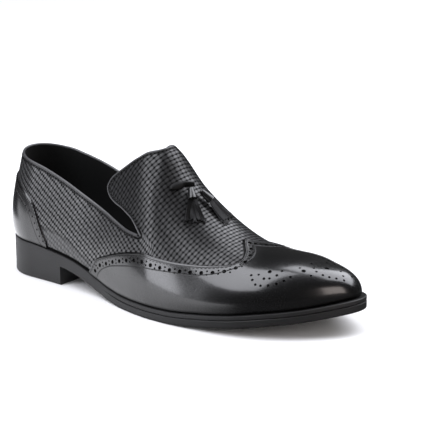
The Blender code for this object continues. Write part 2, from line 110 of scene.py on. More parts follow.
# Places along the sole, as shares of its length, from the back of the heel
HEEL_BACK = 0.006
HEEL_AXIS = 0.115
TOE_TIP = 0.979
NOTCH = 0.496
NOTCH_RIDGE = 0.540
INSIDE = 0.3  # a point within the opening
SLANT_END = 0.64
TOE_PLAN_ROUND = 0.105
TOE_SIDE_ROUND = 0.130
GROOVE_START, GROOVE_FADE = 0.36, 0.08  # where the line between welt and outsole begins
HEEL_FADE = 0.012  # over which the outsole's lower edge begins ahead of the heel

# Rows and stations of the skins
NOTCH_AROUND = 0.292
QUARTER_ROWS = 24
TAB_ROWS = 32
TAB_DEPTH = 36
VAMP_STATIONS = 100
QUARTER_STATIONS = 64
FAN_STATIONS = 28
FLAT_ALIGN = (0.58, 0.70)  # places on the ridge that the flattened leather is laid straight by
FLAT_END = 0.80  # the leather is flattened behind this place
FLAT_FADE = 0.02  # share of the way round over which the weave fades low on the quarter
WEAVE_MERGE = 0.05  # share of the length, ahead of the notch, where the quarter's weave meets the vamp's
WING_ROWS = 80
WING_STATIONS = 90
WING_CROWD = 1.5  # power that crowds the wingtip's rows toward its foot
WING_EDGE_SHARES = [0.0, 0.0012, 0.003, 0.006]
COUNTER_ROWS = 40
WING_PATH_START, WING_PATH_STEPS = 0.025, 130  # lines on the wingtip begin this share of the way up
COUNTER_LOW = 0.03  # lines on the counter stay above this share of the way up
TUBE_SIDES = 12
CAP_SIDES = 20
STRIPS, STRIP_STEPS = 11, 12
LACE_STATIONS, LACE_ROWS = 40, 4
SOLE_STATIONS, HEEL_STATIONS, SOLE_FAN = 120, 20, 24
SOLE_ROWS = 12

LATERAL, MEDIAL = -1, 1


def table(columns, *rows):
    """Rows with named columns."""
    row = namedtuple("row", columns)
    return [row(*values) for values in rows]


# Cross-sections of the last: reach to each side and place of the ridge, height of the seat, rise, slope of
# the wall, fullness of the shoulder and bulge, as shares of the sizes above.
LAST = table(
    "along lateral medial ridge seat rise lean full bulge",
    (0.006, 0.625, 0.625, 0.00, 1.000, 0.975, 0.16, 0.80, 0.72),
    (0.115, 0.640, 0.625, 0.00, 0.942, 0.980, 0.22, 0.85, 0.72),
    (0.200, 0.672, 0.665, 0.00, 0.845, 0.990, 0.24, 0.90, 0.70),
    (0.250, 0.702, 0.660, 0.00, 0.768, 0.998, 0.27, 0.93, 0.65),
    (0.300, 0.742, 0.630, 0.01, 0.638, 1.000, 0.30, 0.95, 0.60),
    (0.350, 0.796, 0.597, 0.00, 0.480, 1.000, 0.31, 0.97, 0.57),
    (0.400, 0.889, 0.580, -0.01, 0.375, 1.000, 0.31, 1.00, 0.55),
    (0.450, 0.981, 0.600, -0.02, 0.325, 0.984, 0.28, 1.00, 0.52),
    (0.500, 1.057, 0.680, -0.03, 0.315, 0.908, 0.23, 1.00, 0.50),
    (0.550, 1.102, 0.760, -0.05, 0.315, 0.732, 0.17, 1.00, 0.47),
    (0.600, 1.110, 0.836, -0.06, 0.325, 0.588, 0.11, 1.00, 0.45),
    (0.690, 1.074, 0.895, -0.09, 0.410, 0.390, 0.03, 0.96, 0.40),
    (0.760, 1.000, 0.910, -0.10, 0.500, 0.304, 0.00, 0.92, 0.40),
    (0.830, 0.836, 0.858, -0.10, 0.620, 0.262, 0.00, 0.88, 0.40),
    (0.900, 0.566, 0.690, -0.09, 0.736, 0.222, 0.00, 0.86, 0.40),
    (0.987, 0.200, 0.560, -0.05, 0.935, 0.206, 0.00, 0.86, 0.40),
)

# How far the sole stands out past the feather edge, in millimetres.
LEDGE = table(
    "along reach",
    (0.000, 1.4), (0.250, 1.6), (0.450, 2.8), (0.620, 3.6), (0.900, 3.9), (0.979, 5.3),
)

# Height of the upper's rim above the floor, in millimetres.
COLLAR = table(
    "along height",
    (0.006, 88.4), (0.060, 85.6), (0.115, 83.2), (0.200, 76.5), (0.300, 66.2), (0.400, 56.8),
    (0.450, 53.6), (0.496, 52.9),
)

# Outline of the tab: up its side edge from the notch to the corner, and over its top edge to the ridge.
TAB_SIDE = table(
    "along place around",
    (0.00, 0.496, 0.292),
    (0.30, 0.452, 0.336),
    (0.55, 0.418, 0.350),
    (0.80, 0.377, 0.360),
    (0.93, 0.359, 0.378),
    (1.00, 0.353, 0.400),
)
TAB_TOP = table(
    "along place around",
    (0.00, 0.353, 0.400),
    (0.10, 0.360, 0.436),
    (0.35, 0.413, 0.565),
    (0.60, 0.459, 0.695),
    (0.80, 0.4895, 0.825),
    (0.92, 0.4985, 0.925),
    (1.00, 0.5000, 1.000),
)

# Rear edge of the wingtip and the seam in front of it, from the feather edge (along 0) to the beak on the
# ridge (1).
WING = table(
    "along place",
    (0.000, 0.318), (0.020, 0.325), (0.081, 0.348), (0.120, 0.383), (0.151, 0.417), (0.205, 0.489),
    (0.278, 0.564), (0.347, 0.618), (0.436, 0.668), (0.529, 0.708), (0.618, 0.734), (0.726, 0.743),
    (0.826, 0.735), (0.920, 0.718), (1.000, 0.702),
)
WING_SEAM = table(
    "along place",
    (0.015, 0.350), (0.060, 0.372), (0.097, 0.404), (0.154, 0.494), (0.224, 0.569), (0.363, 0.677),
    (0.483, 0.724), (0.656, 0.758), (0.772, 0.764), (0.896, 0.755), (0.965, 0.742), (1.000, 0.733),
)

# Top edge of the counter, from the back of the heel forward.
COUNTER = table(
    "along around",
    (0.006, 0.275), (0.060, 0.240), (0.115, 0.190), (0.168, 0.035),
)

# Where the weave is stretched flat, low on the quarter: how far round from the feather edge it reaches.
FLAT = table(
    "along around",
    (0.120, 0.100), (0.205, 0.098), (0.239, 0.087), (0.273, 0.066), (0.322, 0.046), (0.370, -0.020),
)

# Punched ornament on the toe: place along the sole, share of the way across, diameter in millimetres. The
# leaves are punched on both sides of the ridge, the row only once.
LEAVES = table(
    "place across size",
    (0.793, 0.535, 1.9), (0.808, 0.555, 1.7), (0.827, 0.618, 2.8), (0.850, 0.659, 1.7),
    (0.801, 0.472, 1.9), (0.824, 0.503, 2.0), (0.835, 0.514, 1.8), (0.846, 0.576, 2.0),
    (0.873, 0.587, 1.8), (0.865, 0.503, 1.8), (0.812, 0.410, 1.8), (0.824, 0.399, 1.8),
    (0.839, 0.410, 1.8), (0.854, 0.441, 1.8), (0.899, 0.878, 1.7), (0.910, 0.805, 1.8),
    (0.888, 0.753, 3.0), (0.876, 0.795, 1.5), (0.907, 0.680, 1.7), (0.925, 0.753, 1.8),
    (0.937, 0.743, 1.8), (0.948, 0.774, 1.8), (0.959, 0.836, 1.8),
)
RIDGE_ROW = table(
    "place across size",
    (0.884, 0.971, 1.6), (0.918, 0.982, 3.0), (0.952, 0.971, 1.7), (0.940, 1.055, 1.7),
)

# Rings of a tassel's cap: along the tassel, half width and half depth in millimetres.
CAP = table(
    "along wide deep",
    (0.00, 0.8, 0.8), (0.01, 1.5, 1.5), (0.04, 1.9, 1.9), (0.10, 2.2, 2.2), (0.18, 2.6, 2.5),
    (0.26, 3.0, 2.8), (0.33, 3.3, 3.0), (0.35, 3.3, 3.0), (0.36, 2.9, 2.5),
)

# Runs of the tassels and of their lace over the vamp, as places and shares of the way across.
TASSEL_RUNS = {
    "tassel_lateral": ((0.566, 0.892), (0.613, 0.718)),
    "tassel_medial": ((0.578, 0.980), (0.644, 1.100)),
}
THONG_RUN = ((0.541, 0.700), (0.563, 0.990))


# The last

Rib = namedtuple("Rib", "base core seat rise lean full bulge")


def smooth(rows, column, at):
    """One column of a table at a place along it, on a smooth curve that does not overshoot the rows."""
    places = [row.along for row in rows]
    values = [getattr(row, column) for row in rows]
    if at <= places[0]:
        return values[0]
    if at >= places[-1]:
        return values[-1]
    steps = [(b - a) / (q - p) for a, b, p, q in zip(values, values[1:], places, places[1:])]
    i = next(k for k in range(len(steps)) if at <= places[k + 1])

    def slope(k):
        if k == 0 or k == len(steps):
            return steps[min(k, len(steps) - 1)]
        before, after = steps[k - 1], steps[k]
        return 2 * before * after / (before + after) if before * after > 0 else 0.0

    gap = places[i + 1] - places[i]
    u = (at - places[i]) / gap
    return (
        values[i] * (1 + 2 * u) * (1 - u) ** 2
        + values[i + 1] * u * u * (3 - 2 * u)
        + slope(i) * gap * u * (1 - u) ** 2
        + slope(i + 1) * gap * u * u * (u - 1)
    )


def place(along):
    """X of a share of the sole's length."""
    return (along - 0.5) * SOLE_LENGTH - MIDDLE.x


def share(x):
    """Share of the sole's length at an X."""
    return (x + MIDDLE.x) / SOLE_LENGTH + 0.5


def toe_round(along, reach):
    """Falls from 1 to 0 on a quarter circle over the last stretch before the toe."""
    left = clamp((TOE_TIP - along) / reach)
    return math.sqrt(1 - (1 - left) ** 2)


def rib_at(base, core, along):
    """A rib from a foot point to the middle of the last, with the table's values at a place."""
    return Rib(
        base,
        core,
        smooth(LAST, "seat", along) * HEEL_SEAT,
        smooth(LAST, "rise", along) * INSTEP_RISE * toe_round(along, TOE_SIDE_ROUND),
        smooth(LAST, "lean", along),
        smooth(LAST, "full", along),
        smooth(LAST, "bulge", along) * WALL_BULGE,
    )


def side_rib(side, along):
    """Half of the cross-section at a place from the middle of the heel to the toe."""
    unit = BALL_WIDTH / 2
    lateral, medial = smooth(LAST, "lateral", along) * unit, smooth(LAST, "medial", along) * unit
    middle, half = (medial - lateral) / 2 - MIDDLE.y, (medial + lateral) / 2
    width = toe_round(along, TOE_PLAN_ROUND)
    base = Vector((place(along), middle + side * half * width, 0))
    core = Vector((place(along), middle + smooth(LAST, "ridge", along) * unit * width, 0))
    return rib_at(base, core, along)


def heel_rib(side, turn):
    """A rib that fans round the heel: turn 0 is straight back, and 1 is the side rib at HEEL_AXIS."""
    beside = side_rib(side, HEEL_AXIS)
    depth = (HEEL_AXIS - HEEL_BACK) * SOLE_LENGTH
    angle = turn * math.pi / 2
    out = (beside.base.y - beside.core.y) * math.sin(angle)
    base = Vector((beside.base.x - depth * math.cos(angle), beside.core.y + out, 0))
    return rib_at(base, beside.core, share(base.x))


def on_rib(rib, around):
    """The point of the last's surface on a rib: around 0 is the feather edge, and 1 is the ridge."""
    angle = around * math.pi / 2
    lift = rib.rise * math.sin(angle)
    inward = 1 - max(0.0, math.cos(angle)) ** rib.full * (1 - rib.lean * math.sin(angle))
    puff = rib.bulge * lift / BULGE_HEIGHT * math.exp(1 - lift / BULGE_HEIGHT) * math.cos(angle)
    reach = rib.base - rib.core
    out = reach.normalized() if reach.length > 0 else Vector((1, 0, 0))
    point = rib.base.lerp(rib.core, inward) + out * puff
    point.z = rib.seat + lift
    return point


def around_at(rib, lift):
    """How far round a rib a height above the feather edge is reached."""
    return math.asin(min(1.0, lift / rib.rise)) * 2 / math.pi if rib.rise > lift else 0.0


def skin(along, across):
    """A point of the last: across 0 is the outer feather edge, 1 the ridge, and 2 the inner feather edge."""
    side = LATERAL if across <= 1 else MEDIAL
    return on_rib(side_rib(side, along), across if across <= 1 else 2 - across)


def slopes(along, across):
    """How the last's surface runs ahead and across at a point, per share of length and per share across."""
    step = 0.003
    ahead = (skin(along + step, across) - skin(along - step, across)) / (2 * step)
    low, high = max(0.0, across - step), min(2.0, across + step)
    return ahead, (skin(along, high) - skin(along, low)) / (high - low)


def facing(along, across):
    """The way the last faces at a point."""
    ahead, over = slopes(along, across)
    return ahead.cross(over).normalized()


def walk(spot, way, steps=3):
    """The spot, as place and share across, that lies a vector away over the surface."""
    along, across = spot
    for _ in range(steps):
        ahead, over = slopes(along, across)
        a, b, c = ahead.dot(ahead), ahead.dot(over), over.dot(over)
        p, q = way.dot(ahead) / steps, way.dot(over) / steps
        flat = a * c - b * b
        along += (p * c - q * b) / flat
        across += (q * a - p * b) / flat
    return along, across


def clamp(u):
    return min(1.0, max(0.0, u))


def line_of(a, b, count):
    """Evenly spaced values from a to b."""
    return [a + (b - a) * k / count for k in range(count + 1)]


def ways(points):
    """The way along a line at each of its points."""
    ends = zip(points[:1] + points[:-1], points[1:] + points[-1:])
    return [(b - a).normalized() for a, b in ends]


def gather(u):
    """Spaces stations from 0 to 1, closer together toward the toe."""
    return math.sin(u * math.pi / 2) ** 1.1


def wobble(seed):
    """A fixed uneven number from -1 to 1."""
    return math.sin(seed * 12.9898) * math.cos(seed * 4.1414)


# Meshes and pieces


def laid(bm, columns, rows, at):
    """Adds a grid of faces, with each corner where at(column, row) says. Gives its corners by those."""
    made = bmesh.ops.create_grid(bm, x_segments=columns, y_segments=rows, size=1)["verts"]
    corners = {(round((v.co.x + 1) / 2 * columns), round((v.co.y + 1) / 2 * rows)): v for v in made}
    for spot, corner in corners.items():
        corner.co = at(*spot)
    return corners


def distance_to(points):
    """A function that gives the distance from a spot to a line through points, in millimetres."""
    dense = [a.lerp(b, k / 8) for a, b in zip(points, points[1:]) for k in range(8)] + [points[-1]]
    tree = KDTree(len(dense))
    for i, point in enumerate(dense):
        tree.insert(point, i)
    tree.balance()
    return lambda spot: tree.find(spot)[2] / MM


def mark(bm, name, value):
    """Writes three numbers, given by a corner of a face, into a layer that the materials read."""
    layer = bm.loops.layers.float_vector.new(name)
    for face in bm.faces:
        for loop in face.loops:
            loop[layer] = value(loop.vert)


def weld(bm):
    bmesh.ops.remove_doubles(bm, verts=bm.verts, dist=WELD)


def outward(bm):
    bmesh.ops.recalc_face_normals(bm, faces=bm.faces)


def close(bm):
    """Joins the seams of tubes and fills their ends."""
    weld(bm)
    bmesh.ops.holes_fill(bm, edges=[edge for edge in bm.edges if edge.is_boundary])
    outward(bm)


def raise_skin(bm, lift, thick, under=1):
    """Lifts a sheet off the last, by a height given for each corner, and gives it a thickness. Its underside
    and edges get a material by its number."""
    outward(bm)
    bm.normal_update()
    lifts = [(vert, vert.normal * lift(vert)) for vert in bm.verts]
    for vert, way in lifts:
        vert.co += way
    outer = set(bm.faces)
    bmesh.ops.solidify(bm, geom=bm.faces[:], thickness=thick)
    for face in bm.faces:
        face.material_index = 0 if face in outer else under


def mesh_of(name, bm):
    mesh = bpy.data.meshes.new(name)
    bm.to_mesh(mesh)
    bm.free()
    return mesh


def placed(name, data):
    """An object in the scene, at the origin."""
    thing = bpy.data.objects.new(name, data)
    bpy.context.scene.collection.objects.link(thing)
    return thing


def shade(mesh, sharp):
    """Smooth shading, but for edges past an angle in degrees."""
    mesh.shade_smooth()
    mesh.set_sharp_from_angle(angle=math.radians(sharp))


def piece(name, bm, materials, slot, *nodes, sharp=SHARP):
    """Turns a mesh into a piece that rides on the shoe and stands for its solids."""
    weld(bm)
    mesh = mesh_of(name, bm)
    for material in materials:
        mesh.materials.append(material)
    shade(mesh, sharp)
    thing = placed(name, mesh)
    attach(thing, "root")
    if nodes:
        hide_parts(*nodes)
    return thing


def evenly(path, spacing):
    """Points spaced evenly along a path of (point, facing) pairs: point, way along, facing."""
    lengths = [0.0]
    for (a, _), (b, _) in zip(path, path[1:]):
        lengths.append(lengths[-1] + (b - a).length)
    count = max(1, round(lengths[-1] / spacing))
    spots = []
    k = 0
    for i in range(count):
        at = (i + 0.5) * lengths[-1] / count
        while lengths[k + 1] < at:
            k += 1
        u = (at - lengths[k]) / (lengths[k + 1] - lengths[k])
        (a, n), (b, m) = path[k], path[k + 1]
        spots.append((a.lerp(b, u), (b - a).normalized(), n.lerp(m, u).normalized()))
    return spots


def frame_at(point, way, face):
    """A turn and place with X along a way, Z the way the surface faces."""
    side = face.cross(way).normalized()
    return Matrix.Translation(point) @ Matrix((side.cross(face), side, face)).transposed().to_4x4()


# Shaders


class Socket:
    """A shader socket. Python's operators on it add Math nodes."""

    def __init__(self, tree, output=None):
        self.tree = tree
        self.output = output

    def node(self, kind, settings, inputs, output=0):
        """Adds a node: its settings first, then the values or links of its sockets."""
        node = self.tree.nodes.new("ShaderNode" + kind)
        for key, value in settings.items():
            setattr(node, key, value)
        for key, value in inputs.items():
            if isinstance(value, Socket):
                self.tree.links.new(value.output, node.inputs[key])
            else:
                node.inputs[key].default_value = value
        return Socket(self.tree, node.outputs[output])

    def math(self, operation, *values):
        return self.node("Math", {"operation": operation}, dict(enumerate(values)))

    def __add__(self, other):
        return self.math("ADD", self, other)

    __radd__ = __add__

    def __sub__(self, other):
        return self.math("SUBTRACT", self, other)

    def __rsub__(self, other):
        return self.math("SUBTRACT", other, self)

    def __mul__(self, other):
        return self.math("MULTIPLY", self, other)

    __rmul__ = __mul__

    def __mod__(self, other):
        return self.math("FLOORED_MODULO", self, other)

    def __abs__(self):
        return self.math("ABSOLUTE", self)

    def floor(self):
        return self.math("FLOOR", self)

    def step(self, low, high):
        """Goes smoothly from 0 at low to 1 at high."""
        settings = {"interpolation_type": "SMOOTHSTEP"}
        return self.node("MapRange", settings, {"Value": self, "From Min": low, "From Max": high})

    def blend(self, a, b):
        """A colour between two, by this share."""
        return self.node("Mix", {"data_type": "RGBA"}, {0: self, 6: a, 7: b}, 2)

    def parts(self):
        """The three numbers of a vector."""
        node = self.node("SeparateXYZ", {}, {0: self}).output.node
        return [Socket(self.tree, output) for output in node.outputs]


class Finish:
    """A material with one Principled shader."""

    def __init__(self, name, **constants):
        self.material = bpy.data.materials.new(name)
        self.material.use_nodes = True
        self.tree = self.material.node_tree
        self.shader = self.tree.nodes["Principled BSDF"]
        self.start = Socket(self.tree)
        for key, value in constants.items():
            self.shader.inputs[key.replace("_", " ")].default_value = value

    def attribute(self, name):
        return self.start.node("Attribute", {"attribute_name": name}, {}, 1)

    def object_place(self):
        return self.start.node("TexCoord", {}, {}, 3)

    def noise(self, scale, detail, place=None):
        inputs = {"Vector": place or self.object_place(), "Scale": scale, "Detail": detail}
        return self.start.node("TexNoise", {}, inputs)

    def vector(self, x, y, z):
        return self.start.node("CombineXYZ", {}, {0: x, 1: y, 2: z})

    def pores(self, scale):
        return self.start.node("TexVoronoi", {}, {"Vector": self.object_place(), "Scale": scale})

    def feed(self, **links):
        for key, value in links.items():
            self.tree.links.new(value.output, self.shader.inputs[key.replace("_", " ")])

    def bump(self, height, distance, strength):
        """Relief of a height in metres at full strength."""
        inputs = {"Height": height, "Distance": distance, "Strength": strength}
        self.feed(Normal=self.start.node("Bump", {}, inputs))


def grey(level, blue=1.06):
    """A grey, with a slightly cool cast if not told otherwise."""
    return (level, level, level * blue, 1)


WEAVE_AHEAD, WEAVE_ACROSS = 2.72, 3.5  # millimetres from strip to strip, along the ridge and across it
# How many strips the quarter's weave crosses per millimetre ahead and per millimetre down, for each set of
# strips, and how much closer the first set comes for each millimetre back from the notch.
QUARTER_WEAVE = Matrix(((0.214, 0.285), (0.151, -0.235)))
QUARTER_CLOSER = 0.00087
# Heights above the feather edge, in millimetres, between which the upper's colour goes to black: painted
# shade in the crease above the sole.
FOOT_SHADE_LOW, FOOT_SHADE_HIGH = 1.7, 2.6


def woven_leather():
    """Fine weave pressed into leather, with a pit at each crossing. A narrow band along the rim is
    plain, with a groove under the binding. Low on the quarter the weave is stretched and streaked. Painted
    shade darkens the colour in the pits, at the strips' sides, on one set of strips, in the grooves, over the
    vamp and tab, and low above the sole."""
    leather = Finish("woven_leather", Specular_IOR_Level=0.06, Coat_Roughness=0.32)
    ahead, across, hold = leather.attribute("cut").parts()
    uneven = 0.35 * leather.noise(240, 1)
    a, b = ahead * (1 / WEAVE_AHEAD) + uneven, across * (1 / WEAVE_ACROSS) - uneven
    column, row = a.floor(), b.floor()
    in_a, in_b = abs(a - column - 0.5), abs(b - row - 0.5)
    turned = (column + row) % 2
    # Pits and the strips' sides are relief for the bump and, through tone, painted shade in the colour.
    pit = (4 * in_a * in_b + 0.1 * hold).step(0.24, 0.70)
    along = 1 - (0.75 - 0.3 * hold) * in_a.step(0.16, 0.48)
    over = 1 - (0.4 + 0.35 * hold) * in_b.step(0.2, 0.5)
    # The turned strips are painted darker: painted shade, as if the light fell on the other set of strips.
    woven = along * over * (1 - pit) * (1 - 0.2 * turned)
    plain, rim, lift = leather.attribute("edges").parts()
    # The grooves are relief for the bump and painted shade in the colour.
    groove = abs(rim - 1.3).step(1.1, 0.4) + 0.3 * (4 * plain * (1 - plain)).step(0.2, 0.8)
    bare = 1 - (1 - 0.6 * plain) * rim.step(1.6, 2.2)
    x, _, z = leather.object_place().parts()
    streak = leather.noise(1.0, 2, leather.vector(x * 700, z * 60, 0.0))
    relief = (woven * (1 - bare) + bare * (0.1 + 0.9 * streak)) * (1 - groove)
    grain = leather.noise(1500, 3)
    # Painted shade: the vamp and tab (hold 0) take half the quarter's colour, for the light they lack, and
    # the upper goes black low above the sole.
    tone = relief * (0.75 + 0.5 * grain) * lift.step(FOOT_SHADE_LOW, FOOT_SHADE_HIGH) * (0.5 + 0.5 * hold)
    leather.feed(
        Base_Color=tone.blend(grey(0.001), grey(0.034)), Roughness=0.58 - 0.2 * tone, Coat_Weight=2.5 * tone
    )
    leather.bump(relief + 0.1 * grain, 0.40 * MM, 0.9)
    return leather.material


def smooth_leather():
    """Polished calf: close grain, slightly uneven gloss, soft creases where the foot bends, and pressed
    grooves under the stitching. The grooves and the leather low above the sole are painted dark: painted
    shade."""
    leather = Finish("smooth_leather", Coat_Roughness=0.13)
    edge, seam, lift = leather.attribute("marks").parts()
    grain = leather.pores(1900)
    cloud = leather.noise(28, 3)
    x, _, _ = leather.object_place().parts()
    bend = x.step(-0.030, 0.005) * x.step(0.045, 0.020)
    crease = leather.noise(160, 3) * bend
    groove = abs(edge - EDGE_STITCH).step(0.55, 0.1) + abs(seam).step(0.6, 0.1)
    # The stitch grooves and the foot above the sole are painted dark: painted shade.
    tone = (1 - 0.8 * groove) * lift.step(FOOT_SHADE_LOW, FOOT_SHADE_HIGH)
    leather.feed(
        Base_Color=(tone * (0.5 + cloud)).blend(grey(0.0006), grey(0.003)),
        Roughness=0.20 + 0.08 * cloud + 0.04 * grain + 0.3 * groove,
        Coat_Weight=0.75 * tone,
    )
    leather.bump(grain * 0.2 + crease * 2.2 - groove * 3, 0.06 * MM, 0.7)
    return leather.material


def satin_leather(name, level, roughness, coat, shine=0.5):
    """Edge binding, lace and tassel leather: satin, with short fibres."""
    leather = Finish(name, Coat_Weight=coat, Coat_Roughness=0.2, Specular_IOR_Level=shine)
    fibre = leather.noise(1300, 3)
    cloud = leather.noise(120, 2)
    tint = cloud.blend(grey(level * 0.6), grey(level * 1.3))
    leather.feed(Base_Color=tint, Roughness=roughness + 0.15 * fibre)
    leather.bump(fibre + cloud, 0.05 * MM, 0.5)
    return leather.material


def lining_leather():
    """Matt lining with a short nap."""
    lining = Finish("lining", Specular_IOR_Level=0.25)
    nap = lining.noise(900, 4)
    lining.feed(Base_Color=nap.blend(grey(0.004, 1.0), grey(0.010, 1.0)), Roughness=0.75 + 0.2 * nap)
    lining.bump(nap, 0.08 * MM, 0.4)
    return lining.material


def rubber(name, level, roughness):
    """Charcoal rubber with a fine moulded grain and a little dust."""
    compound = Finish(name)
    grain = compound.noise(1800, 3)
    dust = compound.noise(60, 4).step(0.35, 0.8)
    tint = dust.blend(grey(level, 1.04), grey(level * 1.25, 1.04))
    compound.feed(Base_Color=tint, Roughness=roughness + 0.12 * grain)
    compound.bump(grain, 0.05 * MM, 0.5)
    return compound.material


def plain_dark(name, level, roughness):
    """Black of cut leather and of thread; on the welt's top, painted shade for the crease above the sole."""
    dark = Finish(name)
    fibre = dark.noise(2500, 2)
    dark.feed(Base_Color=fibre.blend(grey(level * 0.6), grey(level)), Roughness=roughness + 0.1 * fibre)
    return dark.material


# The woven upper


def row_around(k):
    """How far round the section a row is, from the feather edge through the notch to the ridge."""
    if k <= QUARTER_ROWS:
        return NOTCH_AROUND * k / QUARTER_ROWS
    return NOTCH_AROUND + (1 - NOTCH_AROUND) * (k - QUARTER_ROWS) / TAB_ROWS


def vamp_place(station, around):
    """Place along the sole of a vamp station. The stations slant back from the ridge near the notch."""
    along = NOTCH + (TOE_TIP - NOTCH) * gather(station / VAMP_STATIONS)
    slant = (NOTCH_RIDGE - NOTCH) * max(0.0, 1 - (along - NOTCH) / (SLANT_END - NOTCH))
    return along + slant * max(0.0, (around - NOTCH_AROUND) / (1 - NOTCH_AROUND))


def tab_place(depth, up):
    """Place and share of the way round on the tab: depth 0 is the line from notch to notch, 1 the tab's top
    edge; up 0 is its side edge, and 1 the ridge."""

    def front(w):
        around = NOTCH_AROUND + (1 - NOTCH_AROUND) * w
        return Vector((vamp_place(0, around), around))

    def edge(rows, u):
        return Vector((smooth(rows, "place", u), smooth(rows, "around", u)))

    top, side = edge(TAB_TOP, up), edge(TAB_SIDE, depth)
    ridge = front(1).lerp(edge(TAB_TOP, 1), depth)
    ruled = front(up).lerp(top, depth) + side.lerp(ridge, up)
    corners = front(0).lerp(edge(TAB_TOP, 0), depth).lerp(ridge, up)
    return ruled - corners


def quarter_rib(side, k):
    """A rib of the quarter and its place, from the notch (0) back round the heel to its middle."""
    if k <= QUARTER_STATIONS:
        along = NOTCH + (HEEL_AXIS - NOTCH) * k / QUARTER_STATIONS
        return side_rib(side, along), along
    rib = heel_rib(side, 1 - (k - QUARTER_STATIONS) / FAN_STATIONS)
    return rib, share(rib.base.x)


def collar_around(rib, along):
    """How far round a rib the upper's rim is."""
    return around_at(rib, smooth(COLLAR, "height", along) * MM - rib.seat)


def of_quarter(face):
    """Whether a face of the upper lies on a quarter, behind the notch and under the collar."""
    centre = face.calc_center_median()
    return centre.x < place(NOTCH) and centre.z < smooth(COLLAR, "height", share(centre.x)) * MM


def flattened(bm, front):
    """Where the corners of the faces of vamp and tab behind a front X lie when that leather is laid flat, in
    metres. The first number runs along the ridge, and the second falls toward the outer side."""
    mesh = bpy.data.meshes.new("flat")
    for face in bm.faces:
        face.select_set(face.calc_center_median().x < front and not of_quarter(face))
    bm.to_mesh(mesh)
    sheet = placed("flat", mesh)
    bpy.context.view_layer.objects.active = sheet
    mesh.uv_layers.new(name="flat")
    bpy.ops.object.mode_set(mode="EDIT")
    bpy.ops.uv.unwrap(method="MINIMUM_STRETCH", margin=0)
    bpy.ops.object.mode_set(mode="OBJECT")
    flat = [spot.uv.copy() for spot in mesh.uv_layers["flat"].data]
    chosen = [loop for polygon in mesh.polygons if polygon.select for loop in polygon.loop_indices]
    marks = []
    for end in [skin(along, 1) for along in FLAT_ALIGN] + [skin(FLAT_ALIGN[0], 0.3)]:
        loop = min(chosen, key=lambda k: (mesh.vertices[mesh.loops[k].vertex_index].co - end).length)
        marks.append((flat[loop], mesh.vertices[mesh.loops[loop].vertex_index].co.copy()))
    bpy.data.objects.remove(sheet)
    bpy.data.meshes.remove(mesh)
    (p, start), (q, end), (low, _) = marks
    run = (q - p).normalized()
    scale = (end - start).length / (q - p).length
    turn = Matrix(((run.x, run.y), (-run.y, run.x)))
    if (turn @ (low - p)).y > 0:
        turn = Matrix(((run.x, run.y), (run.y, -run.x)))
    return [turn @ (spot - p) * scale for spot in flat]


def quarter_weave(side, run, height):
    """Flat place, in millimetres, of a point of the quarter: run ahead of the notch, height off the floor."""
    strips = QUARTER_WEAVE @ Vector((run, -height)) / MM
    strips.x -= QUARTER_CLOSER * (run / MM) ** 2
    return Vector((strips.x * WEAVE_AHEAD, -side * strips.y * WEAVE_ACROSS))


Spot = namedtuple("Spot", "point lift plain side run hold")


